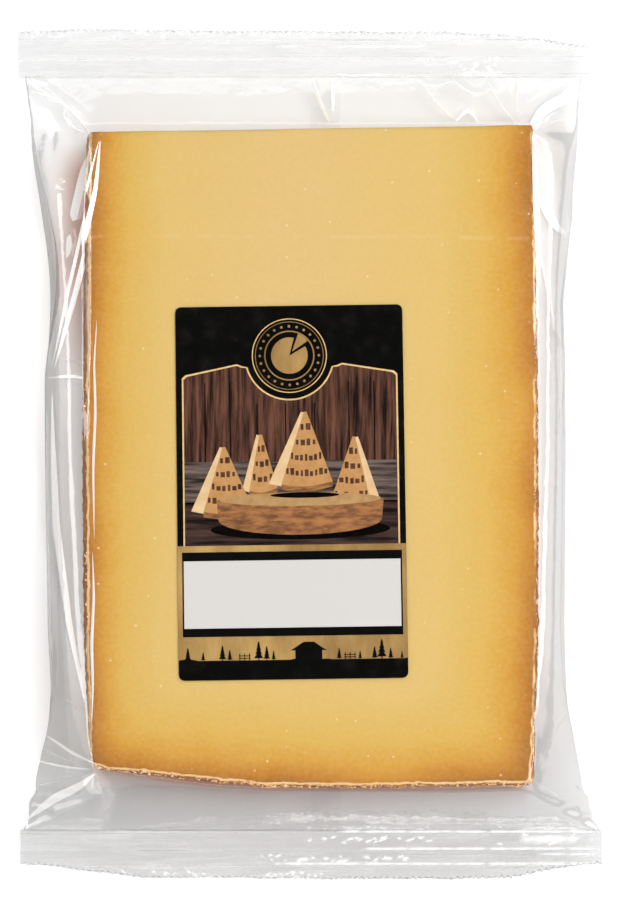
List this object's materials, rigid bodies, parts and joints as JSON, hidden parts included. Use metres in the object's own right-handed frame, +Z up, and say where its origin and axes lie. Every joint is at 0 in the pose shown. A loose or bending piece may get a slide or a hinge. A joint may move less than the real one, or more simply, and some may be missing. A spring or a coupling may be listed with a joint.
{
  "type": "packed cheese wedge",
  "caption": "Radial wedge of hard cheese with rind on three sides, lying flat in a clear film pack with a folded back seam, crimped end seals and a front label.",
  "frame": {"origin": "middle of the pack's bounding box in X and Y, on the surface that the pack lies on", "axes": "+Z up, out of the labelled face; +Y along the cheese from the wheel's heel towards its centre; X along the wheel's axis, across the pack"},
  "size_m": [0.147, 0.2144, 0.0308],
  "materials": {
    "cheese_paste": null,
    "clear_film": "clear, glossy, stiff packing film",
    "sealed_film": "clear film in several layers, crimped or folded",
    "label_print": "printed self-adhesive label, dark, with a satin surface"
  },
  "bodies": {
    "root": {"cheese": "cheese_paste", "film_sleeve": "clear_film", "film_back_seam": "sealed_film", "film_tip_end_seal": "sealed_film", "film_heel_end_seal": "sealed_film", "label": "label_print"}
  },
  "joints": []
}
